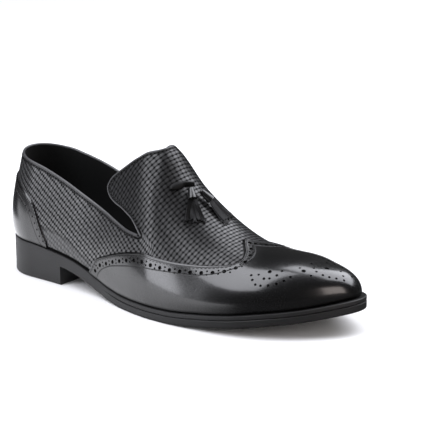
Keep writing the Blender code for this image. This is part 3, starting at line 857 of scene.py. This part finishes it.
def build_upper(woven, lining):
    """Vamp, tab and quarters in one skin. Gives the rims of tab and collar as points with the next row."""
    bm = bmesh.new()
    ridge_row = QUARTER_ROWS + TAB_ROWS
    half = QUARTER_STATIONS + FAN_STATIONS

    def on_skin(along, around, side):
        rib = side_rib(side, along)
        point = on_rib(rib, around)
        near = max(0.0, 1 - (along - NOTCH) / WEAVE_MERGE) if around <= NOTCH_AROUND else 0.0
        return Spot(point, point.z - rib.seat, 0.0, side, point.x - place(NOTCH), near)

    def on_vamp(i, j):
        around = row_around(min(j, 2 * ridge_row - j))
        return on_skin(vamp_place(i, around), around, LATERAL if j <= ridge_row else MEDIAL)

    def on_tab(i, j):
        along, around = tab_place(i / TAB_DEPTH, min(j, 2 * TAB_ROWS - j) / TAB_ROWS)
        return on_skin(along, around, LATERAL if j <= TAB_ROWS else MEDIAL)._replace(hold=0.0)

    bases = [quarter_rib(LATERAL, k)[0].base for k in range(half + 1)]
    runs = [-sum((a - b).length for a, b in zip(bases[:k], bases[1:])) for k in range(half + 1)]

    def on_quarter(i, j):
        side, k = (LATERAL, i) if i <= half else (MEDIAL, 2 * half - i)
        rib, along = quarter_rib(side, k)
        around = NOTCH_AROUND * j / QUARTER_ROWS if k == 0 else collar_around(rib, along) * j / QUARTER_ROWS
        point = on_rib(rib, around)
        flat = smooth(FLAT, "around", along)
        plain = clamp((flat - around) / FLAT_FADE)
        return Spot(point, point.z - rib.seat, plain, side, runs[k], 1.0)

    spots, edges = {}, []
    for columns, rows, at in (
        (VAMP_STATIONS, 2 * ridge_row, on_vamp),
        (TAB_DEPTH, 2 * TAB_ROWS, on_tab),
        (2 * half, QUARTER_ROWS, on_quarter),
    ):
        found = {(i, j): at(i, j) for i in range(columns + 1) for j in range(rows + 1)}
        corners = laid(bm, columns, rows, lambda i, j: found[i, j].point)
        spots.update({corner: found[key] for key, corner in corners.items()})
        if at == on_tab:
            up_side = [(i, 0, i, 1) for i in range(TAB_DEPTH + 1)]
            over_top = [(TAB_DEPTH, j, TAB_DEPTH - 1, j) for j in range(1, rows)]
            down_side = [(i, rows, i, rows - 1) for i in range(TAB_DEPTH, -1, -1)]
            run = up_side + over_top + down_side
        else:
            run = [(i, rows, i, rows - 1) for i in range(columns + 1)]
        if at != on_vamp:
            edges.append([(found[i, j].point, found[m, n].point) for i, j, m, n in run])

    to_rims = [distance_to([rim for rim, _ in edge]) for edge in edges]
    from_rim = {vert: min(reach(vert.co) for reach in to_rims) for vert in spots}

    mark(bm, "edges", lambda vert: (spots[vert].plain, from_rim[vert], spots[vert].lift / MM))

    def held(vert):
        spot = spots[vert]
        return (*quarter_weave(spot.side, spot.run, spot.point.z), spot.hold)

    mark(bm, "quarter", held)
    weld(bm)
    layer = bm.loops.layers.float_vector["quarter"]
    loops = [loop for face in bm.faces for loop in face.loops]
    flat = [spot / MM for spot in flattened(bm, place(FLAT_END))]
    shift = {}
    for side in (LATERAL, MEDIAL):
        foot = on_rib(side_rib(side, NOTCH), NOTCH_AROUND / 2)
        near = min(
            (k for k, loop in enumerate(loops) if not of_quarter(loop.face)),
            key=lambda k: (loops[k].vert.co - foot).length,
        )
        shift[side] = flat[near] - quarter_weave(side, 0.0, foot.z)
    cuts = []
    for loop, spot in zip(loops, flat):
        x, y, hold = loop[layer]
        side = LATERAL if loop.vert.co.y < -MIDDLE.y else MEDIAL
        cuts.append((*spot.lerp(Vector((x, y)) + shift[side], hold), hold))
    cuts = iter(cuts)
    mark(bm, "cut", lambda vert: next(cuts))
    raise_skin(bm, lambda vert: 0.0, WALL)
    piece("woven_upper", bm, (woven, lining), "woven_leather", "upper")
    return edges


# Overlays, holes and stitches


def rolled(points, top):
    """Height of an overlay's face: it is rounded down along the line of its edge."""
    to_edge = distance_to(points)

    def lift(vert):
        near = max(0.0, 1 - to_edge(vert.co) * MM / OVERLAY_ROLL)
        return top * (ROLL_EDGE + (1 - ROLL_EDGE) * math.sqrt(1 - near * near))

    return lift


def overlay(name, bm, marks, edge, top, thick, leathers, node):
    """Finishes an overlay: its marks, its rolled edge and its thickness."""
    mark(bm, "marks", lambda vert: marks[vert])
    weld(bm)
    raise_skin(bm, rolled(edge, top), thick)
    return piece(name, bm, leathers, "smooth_leather", node)


def build_wingtip(leathers):
    """Toe cap with wings and a beak, marked by the distance to its edge and to its seam."""
    bm = bmesh.new()
    shares = WING_EDGE_SHARES + [gather(i / WING_STATIONS) for i in range(1, WING_STATIONS + 1)]
    spots = {}

    def at(i, j):
        up = (min(j, 2 * WING_ROWS - j) / WING_ROWS) ** WING_CROWD
        side = LATERAL if j <= WING_ROWS else MEDIAL
        edge = smooth(WING, "place", up)
        along = edge + (TOE_TIP - edge) * shares[i]
        rib = side_rib(side, along)
        foot = around_at(rib, OVERLAY_FOOT * min(1.0, rib.rise / (6 * OVERLAY_FOOT)))
        point = on_rib(rib, foot + (1 - foot) * up)
        before_seam = along < smooth(WING_SEAM, "place", foot + (1 - foot) * up)
        spots[i, j] = point, -1 if before_seam else 1, (point.z - rib.seat) / MM
        return point

    corners = laid(bm, len(shares) - 1, 2 * WING_ROWS, at)
    rear = [corners[0, j].co.copy() for j in range(2 * WING_ROWS + 1)]
    to_edge = distance_to(rear)
    to_seam = distance_to([point for point, _ in wing_path(WING_SEAM, 0.0, 0.0)])
    marks = {}
    for key, corner in corners.items():
        point, sign, lift = spots[key]
        marks[corner] = to_edge(point), sign * to_seam(point), lift
    return overlay("wingtip_leather", bm, marks, rear, OVERLAY_TOP, OVERLAY_THICK, leathers, "wingtip")


def counter_rib(side, k):
    """Ribs under the counter from the middle of the heel (0) to its front edge."""
    if k <= FAN_STATIONS:
        return heel_rib(side, k / FAN_STATIONS)
    front = COUNTER[-1].along
    return side_rib(side, HEEL_AXIS + (front - HEEL_AXIS) * (k - FAN_STATIONS) / FAN_STATIONS)


def build_counter(leathers):
    """Smooth piece round the heel, marked by the distance to its top edge."""
    bm = bmesh.new()
    half, rows = 2 * FAN_STATIONS, COUNTER_ROWS
    lifts = {}

    def at(i, j):
        rib = counter_rib(LATERAL if i <= half else MEDIAL, abs(half - i))
        foot, top = around_at(rib, OVERLAY_FOOT), smooth(COUNTER, "around", share(rib.base.x))
        point = on_rib(rib, foot + (top - foot) * j / rows)
        lifts[i, j] = (point.z - rib.seat) / MM
        return point

    corners = laid(bm, 2 * half, rows, at)
    top = [corners[i, rows].co.copy() for i in range(2 * half + 1)]
    to_edge = distance_to(top)
    marks = {}
    for key, corner in corners.items():
        edge = to_edge(corner.co)
        marks[corner] = edge, edge - COUNTER_SEAM, lifts[key]
    return overlay("counter_leather", bm, marks, top, COUNTER_TOP, COUNTER_THICK, leathers, "counter")


def wing_path(table, inward, top):
    """A line on the wingtip, at a distance in from a table's line, from the outer foot over the beak to the
    inner."""
    line = [(smooth(table, "place", up), up) for up in line_of(WING_PATH_START, 1.0, WING_PATH_STEPS)]
    path = []
    for side in (LATERAL, MEDIAL):
        half = []
        for spot, way in zip(line, ways([skin(*spot) for spot in line])):
            along, across = walk(spot, way.cross(facing(*spot)) * inward)
            across = min(1.0, across)
            half.append((along, across if side == LATERAL else 2 - across))
        path += half if side == LATERAL else half[::-1]
    return [(skin(*spot) + facing(*spot) * top, facing(*spot)) for spot in path]


def build_stitches(name, paths, thread, slot):
    """Stitches along paths, each a small rounded bar let into the leather."""
    bm = bmesh.new()
    for path in paths:
        for point, way, face in evenly(path, STITCH_SPACING):
            matrix = frame_at(point, way, face) @ Matrix.Diagonal((*STITCH_HALF, 1))
            bmesh.ops.create_uvsphere(bm, u_segments=8, v_segments=5, radius=1, matrix=matrix)
    return piece(name, bm, (thread,), slot)


def punch(thing, holes, dark):
    """Cuts round blind holes, each a point, the way it faces and a diameter, into a piece."""
    bm = bmesh.new()
    bar = {"cap_ends": True, "segments": 14, "depth": 2 * HOLE_DEPTH}
    for point, face, size in holes:
        matrix = frame_at(point, face.orthogonal(), face)
        bmesh.ops.create_cone(bm, radius1=size / 2, radius2=size / 2, matrix=matrix, **bar)
    mesh = mesh_of("punch", bm)
    mesh.materials.append(dark)
    tool = placed("punch", mesh)
    cut = thing.modifiers.new("holes", "BOOLEAN")
    cut.object = tool
    cut.material_mode = "TRANSFER"
    bpy.context.view_layer.update()
    result = bpy.data.meshes.new_from_object(thing.evaluated_get(bpy.context.evaluated_depsgraph_get()))
    thing.modifiers.clear()
    thing.data = result
    bpy.data.objects.remove(tool)
    shade(result, SHARP)


def wing_holes():
    """The border's large holes with pairs of small ones between them, and the leaves on the toe."""
    holes = []
    for point, way, face in evenly(wing_path(WING, BORDER_INSET, OVERLAY_TOP), BORDER_SPACING):
        side = face.cross(way)
        holes.append((point, face, BORDER_HOLE))
        between = point + way * BORDER_SPACING / 2
        holes += [(between + side * reach, face, PAIR_HOLE) for reach in (-PAIR_REACH, PAIR_REACH)]
    for hole in RIDGE_ROW + LEAVES + [hole._replace(across=2 - hole.across) for hole in LEAVES]:
        face = facing(hole.place, hole.across)
        holes.append((skin(hole.place, hole.across) + face * OVERLAY_TOP, face, hole.size * MM))
    return holes


def counter_path(inset, top):
    """A line on the counter at a distance down from its top edge."""
    path = []
    half = 2 * FAN_STATIONS
    for i in range(2 * half + 1):
        side = LATERAL if i <= half else MEDIAL
        rib = counter_rib(side, abs(half - i))
        around = smooth(COUNTER, "around", share(rib.base.x)) - inset / rib.rise / (math.pi / 2)
        around = max(COUNTER_LOW, around)
        point = on_rib(rib, around)
        up = on_rib(rib, around + 0.01) - point
        out = Vector((rib.base.x - rib.core.x, rib.base.y - rib.core.y, 0)).normalized()
        face = (out - up * out.dot(up) / up.dot(up)).normalized()
        path.append((point + face * top, face))
    return path


# Pipings, tassels and lace


def tube(bm, points, radius):
    """Adds a round bar along points, with closed ends."""
    ups = []
    up = Vector((0, 0, 1))
    for run in ways(points):
        up = (up - run * up.dot(run)).normalized()
        ups.append((up, run.cross(up)))

    def at(i, j):
        turn = 2 * math.pi * j / TUBE_SIDES
        up, side = ups[i]
        return points[i] + (up * math.cos(turn) + side * math.sin(turn)) * radius

    laid(bm, len(points) - 1, TUBE_SIDES, at)
    close(bm)


def rim_line(edge, inward, upward):
    """A line beside a rim: inward from the outer face, and upward from the rim."""
    line = []
    for (rim, inside), run in zip(edge, ways([rim for rim, _ in edge])):
        out = rim - inside
        out = (out - run * out.dot(run)).normalized()
        inner = run.cross(out)
        if inner.dot(Vector((place(INSIDE), -MIDDLE.y, HEEL_SEAT)) - rim) < 0:
            inner.negate()
        line.append((rim + inner * inward + out * upward, -inner))
    return line


def build_pipings(tab_edge, collar_edge, leather):
    """The tab's binding runs from notch to notch. The collar's stops where it would touch it."""
    edges = (tab_edge, collar_edge)
    tab, collar = ([p for p, _ in rim_line(edge, WALL / 2, PIPING_RISE)] for edge in edges)
    collar = [p for p in collar if min((p - q).length for q in tab) > 2 * PIPING_RADIUS]
    for name, line, node in (("tab_binding", tab, "tab_piping"), ("collar_binding", collar, "collar_piping")):
        bm = bmesh.new()
        tube(bm, line, PIPING_RADIUS)
        piece(name, bm, (leather,), "piping", node)


def build_tassel(node, start, end, leathers, seed):
    """A plain tapered cap and a fringe of cut strips that fans out over the vamp. Its leathers are those of
    the cap, the strips and their edges, whose lighter grey is a painted highlight."""
    start, end = Vector(start), Vector(end)
    run = (skin(*end) - skin(*start)).normalized()
    bm = bmesh.new()

    def base(along):
        spot = start.lerp(end, along)
        face = facing(*spot)
        return skin(*spot), face, face.cross(run).normalized()

    def at_cap(i, j):
        ring = CAP[i]
        point, face, side = base(ring.along)
        turn = 2 * math.pi * j / CAP_SIDES
        out = side * ring.wide * math.cos(turn) + face * ring.deep * math.sin(turn)
        return point + face * CAP_LIFT + out * MM

    laid(bm, len(CAP) - 1, CAP_SIDES, at_cap)
    close(bm)
    for k in range(STRIPS):
        spread = 2 * k / (STRIPS - 1) - 1
        layer = k % 2
        reach = 1.0 - 0.06 * layer + 0.05 * wobble(seed + k)
        half = STRIP_HALF + 0.15 * MM * wobble(seed + 2 * k)
        twist = 0.9 * wobble(seed + 3 * k)

        def at(i, j):
            u = i / STRIP_STEPS
            along = CAP_END + (reach - CAP_END) * u
            point, face, side = base(along)
            fan = spread * (FRINGE_HALF + FRINGE_FAN * u ** 0.9) + 0.3 * MM * wobble(seed + k) * u
            height = FRINGE_DROP * (1 - u) ** 2 + FRINGE_LIFT + LAYER_LIFT * layer * min(1.0, 3 * u)
            lean = twist * u - 0.35 * spread
            across = side * math.cos(lean) + face * math.sin(lean)
            return point + side * fan + face * height + across * half * (2 * j - 1) * (1 + 0.15 * u)

        strip = bmesh.new()
        laid(strip, STRIP_STEPS, 1, at)
        outward(strip)
        first = set(strip.verts)
        bmesh.ops.solidify(strip, geom=strip.faces[:], thickness=STRIP_THICK)
        for face in strip.faces:
            face.material_index = len({vert in first for vert in face.verts})
        mesh = mesh_of("strip", strip)
        bm.from_mesh(mesh)
        bpy.data.meshes.remove(mesh)
    outward(bm)
    piece(node + "_leather", bm, leathers, "tassel_leather", node, sharp=FRINGE_SHARP)


def build_thong(leather):
    """The lace that the tassels hang on: a flat band over the ridge with a pointed end."""
    bm = bmesh.new()

    def at(i, j):
        u = i / LACE_STATIONS
        spot = Vector(THONG_RUN[0]).lerp(Vector(THONG_RUN[1]), u)
        face = facing(*spot)
        ahead = Vector((1, 0, 0))
        ahead = (ahead - face * ahead.dot(face)).normalized()
        leaf = math.sin(math.pi * min(1.0, u / LACE_LEAF)) ** 0.7
        half = max(LACE_TAIL, LACE_HALF * leaf) * min(1.0, 0.15 + 14 * u)
        w = 2 * j / LACE_ROWS - 1
        return skin(*spot) + face * (LACE_LIFT - LACE_CROWN * w * w) + ahead * half * w

    laid(bm, LACE_STATIONS, LACE_ROWS, at)
    raise_skin(bm, lambda vert: 0.0, LACE_THICK, under=0)
    piece("tassel_lace", bm, (leather,), "tassel_leather", "tassel_thong")


# The sole


def outline(end):
    """Points of each side of the sole from the back of the heel to an end, and the way each faces in plan."""
    run = line_of(HEEL_AXIS, end, HEEL_STATIONS)
    if end == TOE_TIP:
        run = [HEEL_AXIS + (end - HEEL_AXIS) * gather(u) for u in line_of(0.0, 1.0, SOLE_STATIONS)]
    sides = []
    for side in (LATERAL, MEDIAL):
        fans = [heel_rib(side, turn) for turn in line_of(0.0, 1.0, SOLE_FAN)[:-1]]
        chain = [rib.base for rib in fans + [side_rib(side, along) for along in run]]
        faces = [Vector((-way.y, way.x, 0)) * side for way in ways(chain)]
        faces[0] = Vector((-1, 0, 0))
        faces[-1] = Vector((1, 0, 0)) if end == TOE_TIP else Vector((0, side, 0))
        sides.append((chain, faces))
    return sides


def seat(along):
    return smooth(LAST, "seat", along) * HEEL_SEAT


def ledge(along):
    return smooth(LEDGE, "reach", along) * MM


def groove(along):
    """Depth share of the line between welt and outsole: none round the heel and the waist."""
    u = clamp((along - GROOVE_START) / GROOVE_FADE)
    return u * u * (3 - 2 * u)


def below_heel(along):
    """1 in front of the heel block, and 0 over it."""
    return clamp((along - HEEL_LENGTH / SOLE_LENGTH) / HEEL_FADE)


def even(_):
    return 1.0


def welt_top(along):
    return seat(along) - GAP


def welt_bottom(along):
    return welt_top(along) - WELT_THICK


def outsole_top(along):
    return welt_bottom(along) - max(WELD, GAP * groove(along))


def outsole_bottom(along):
    return max(0.0, welt_bottom(along) - GAP - OUTSOLE_THICK)


def heel_top(along):
    return outsole_bottom(along) - WELD


def floor_level(_):
    return 0.0


# A row of a sole layer's profile, from the top's edge down to the bottom's: outset from the ledge in
# millimetres, share of the way down, drop in millimetres, and a function of the place along the sole that
# scales outset and drop.
ROW = "outset way drop scale"
WELT_PROFILE = table(
    ROW,
    (-0.9, 0, 0, even),
    (-0.45, 0, 0.05, even),
    (-0.12, 0, 0.25, even),
    (0, 0, 0.7, even),
    (0, 1, -0.5, groove),
    (-0.5, 1, 0, groove),
)
SOLE_PROFILE = table(
    ROW,
    (-0.5, 0, 0, groove),
    (0, 0, 0.5, groove),
    (0, 0.5, 0, even),
    (0, 0.76, 0, even),
    (-0.25, 0.79, 0, groove),
    (0, 0.82, 0, even),
    (0, 1, -0.9, below_heel),
    (-0.15, 1, -0.35, below_heel),
    (-0.7, 1, 0, below_heel),
)
HEEL_PROFILE = table(ROW, (0, 0, 0, even), (-0.2, 1, -0.7, even), (-0.5, 1, -0.2, even), (-0.9, 1, 0, even))


def build_plate(name, node, end, top, bottom, profile, materials, slot):
    """A layer of the sole between two heights, with its second material on the top."""
    outer, inner = outline(end)
    last, width = len(outer[0]) - 1, SOLE_ROWS

    def at(side, k, row):
        point, face = side[0][k], side[1][k]
        along = share(point.x)
        scale = row.scale(along)
        spot = point + face * (ledge(along) + row.outset * scale * MM)
        spot.z = top(along) + (bottom(along) - top(along)) * row.way - row.drop * scale * MM
        return spot

    def between(k, row, j):
        return at(outer, k, row).lerp(at(inner, k, row), j / width)

    bm = bmesh.new()
    laid(bm, last, width, lambda i, j: between(i, profile[0], j))
    for face in bm.faces:
        face.material_index = len(materials) - 1
    laid(bm, last, width, lambda i, j: between(i, profile[-1], j))
    for side in (outer, inner):
        laid(bm, last, len(profile) - 1, lambda i, j: at(side, i, profile[j]))
    if end != TOE_TIP:
        laid(bm, width, len(profile) - 1, lambda i, j: between(last, profile[j], i))
    bmesh.ops.remove_doubles(bm, verts=bm.verts, dist=WELD / 2)
    outward(bm)
    piece(name, bm, materials, slot, node, sharp=SOLE_SHARP)


def build_sole(compound, dark):
    """Welt, outsole and heel."""
    welt, sole, heel = (welt_top, welt_bottom), (outsole_top, outsole_bottom), (heel_top, floor_level)
    heel_end = HEEL_LENGTH / SOLE_LENGTH
    build_plate("welt_strip", "welt", TOE_TIP, *welt, WELT_PROFILE, (compound, dark), "welt")
    build_plate("rubber_sole", "outsole", TOE_TIP, *sole, SOLE_PROFILE, (compound,), "rubber")
    build_plate("rubber_heel", "heel", heel_end, *heel, HEEL_PROFILE, (compound,), "rubber")


# Camera, stage and light


def shoot():
    """The camera, turned a little about its line of sight."""
    a, e, r = math.radians(AZIMUTH), math.radians(ELEVATION), math.radians(ROLL)
    back = Vector((math.sin(a) * math.cos(e), -math.cos(a) * math.cos(e), math.sin(e)))
    level = Vector((math.cos(a), math.sin(a), 0))
    upright = back.cross(level)
    right = level * math.cos(r) - upright * math.sin(r)
    up = level * math.sin(r) + upright * math.cos(r)
    lens = bpy.data.cameras.new("camera")
    lens.lens = LENS
    lens.sensor_width = SENSOR
    camera = placed("camera", lens)
    turn = Matrix((right, up, back)).transposed().to_4x4()
    camera.matrix_world = Matrix.Translation(AIM + back * DISTANCE) @ turn
    bpy.context.scene.camera = camera


COOL, WARM = (0.93, 0.94, 1.0), (1.0, 0.9, 0.86)  # tints of the lights


def softbox(name, place_m, aim, size, watts, tint):
    """A rectangular light that looks at a point."""
    lamp = bpy.data.lights.new(name, "AREA")
    lamp.shape = "RECTANGLE"
    lamp.size, lamp.size_y = size
    lamp.energy = watts
    lamp.color = tint
    thing = placed(name, lamp)
    thing.location = place_m
    thing.rotation_euler = (Vector(aim) - Vector(place_m)).to_track_quat("-Z", "Y").to_euler()


def stage():
    """Pale floor and soft light. In the shoe's reflections the room is dark and the floor is painted dark,
    painted shade, but for a pool of light where the floor keeps its white.
    """
    bm = bmesh.new()
    bmesh.ops.create_grid(bm, x_segments=1, y_segments=1, size=FLOOR_REACH)
    mesh = mesh_of("floor", bm)
    paper = Finish("paper", Roughness=0.9, Specular_IOR_Level=0.1)
    x, y, _ = paper.object_place().parts()
    mirrored = paper.start.node("LightPath", {}, {}, 3)
    # In reflections the floor is painted dark, painted shade, outside a pool of light that is also painted
    # dark behind the heel.
    pool = ((x + 0.15) * (x + 0.15) + (y + 0.1) * (y + 0.1)).step(0.30, 0.09) * x.step(0.10, -0.02)
    reflected_shade_behind_heel = x.step(-0.27, -0.34) * y.step(-0.12, -0.04)
    lit = pool * (1 - reflected_shade_behind_heel)
    fibres = paper.noise(2, 1).blend(grey(0.90, 1.0), grey(0.92, 1.0))
    paper.feed(Base_Color=(mirrored * (1 - lit)).blend(fibres, grey(0.03, 1.0)))
    mesh.materials.append(paper.material)
    floor = placed("floor", mesh)
    world = bpy.data.worlds.new("studio")
    bpy.context.scene.world = world
    world.use_nodes = True
    tree = world.node_tree
    background = tree.nodes["Background"]
    background.inputs["Color"].default_value = (1, 1, 1, 1)
    glossy = Socket(tree).node("LightPath", {}, {}, 3)
    tree.links.new((0.50 - 0.46 * glossy).output, background.inputs["Strength"])
    softbox("left_wall", (-0.655, -0.954, 0.45), (0, 0, 0.45), (0.33, 0.9), 5.2, COOL)
    softbox("ceiling", (-0.45, -0.725, 1.3), (-0.45, -0.725, 0), (1.0, 1.75), 24, COOL)
    softbox("back_box", (0.32, 0.68, 1.02), (0.12, 0, 0.04), (1.22, 1.2), 20, COOL)
    softbox("warm_card", (1.19, -0.27, 0.39), (0.13, 0, 0.05), (0.55, 0.6), 3, WARM)
    bpy.context.scene.view_settings.view_transform = "Standard"


shoot()
woven, calf, lining = woven_leather(), smooth_leather(), lining_leather()
binding = satin_leather("binding_leather", 0.05, 0.34, 0.4)
cap = satin_leather("tassel_leather", 0.003, 0.24, 0.5)
lace = satin_leather("lace_leather", 0.002, 0.45, 0.0, 0.2)
# The strips' edges are painted lighter grey: painted highlight along their edges.
painted_edge_highlight = satin_leather("painted_edge_highlight", 0.06, 0.6, 0.0, 0.2)
strip = satin_leather("strip_leather", 0.002, 0.38, 0.05, 0.15)
thread, hole_wall = plain_dark("thread", 0.004, 0.35), plain_dark("hole_wall", 0.002, 0.9)
cut_edge = plain_dark("cut_edge", 0.006, 0.45)
tab_edge, collar_edge = build_upper(woven, lining)
wingtip, counter = build_wingtip((calf, cut_edge)), build_counter((calf, cut_edge))
punch(wingtip, wing_holes(), hole_wall)
border = evenly(counter_path(COUNTER_INSET, COUNTER_TOP), COUNTER_SPACING)
punch(counter, [(point, face, COUNTER_HOLE) for point, _, face in border], hole_wall)
wing_lines = [wing_path(WING, EDGE_STITCH * MM, OVERLAY_TOP), wing_path(WING_SEAM, 0.0, OVERLAY_TOP)]
build_stitches("wing_stitches", wing_lines, thread, "smooth_leather")
build_stitches("counter_stitches", [counter_path(EDGE_STITCH * MM, COUNTER_TOP)], thread, "smooth_leather")
rim_lines = [rim_line(edge, 0.0, -RIM_STITCH) for edge in (tab_edge[3:-3], collar_edge[3:-3])]
build_stitches("rim_stitches", rim_lines, thread, "woven_leather")
build_pipings(tab_edge, collar_edge, binding)
for seed, (node, (start, end)) in enumerate(TASSEL_RUNS.items()):
    build_tassel(node, start, end, (cap, strip, painted_edge_highlight), 7 * seed + 1)
build_thong(lace)
# The welt's top is painted near black: painted shade for the dark crease between the upper and the sole.
build_sole(rubber("sole_rubber", 0.010, 0.48), plain_dark("welt_top", 0.002, 0.9))
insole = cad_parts["insole"]
insole.data.materials.clear()
insole.data.materials.append(lining)
stage()
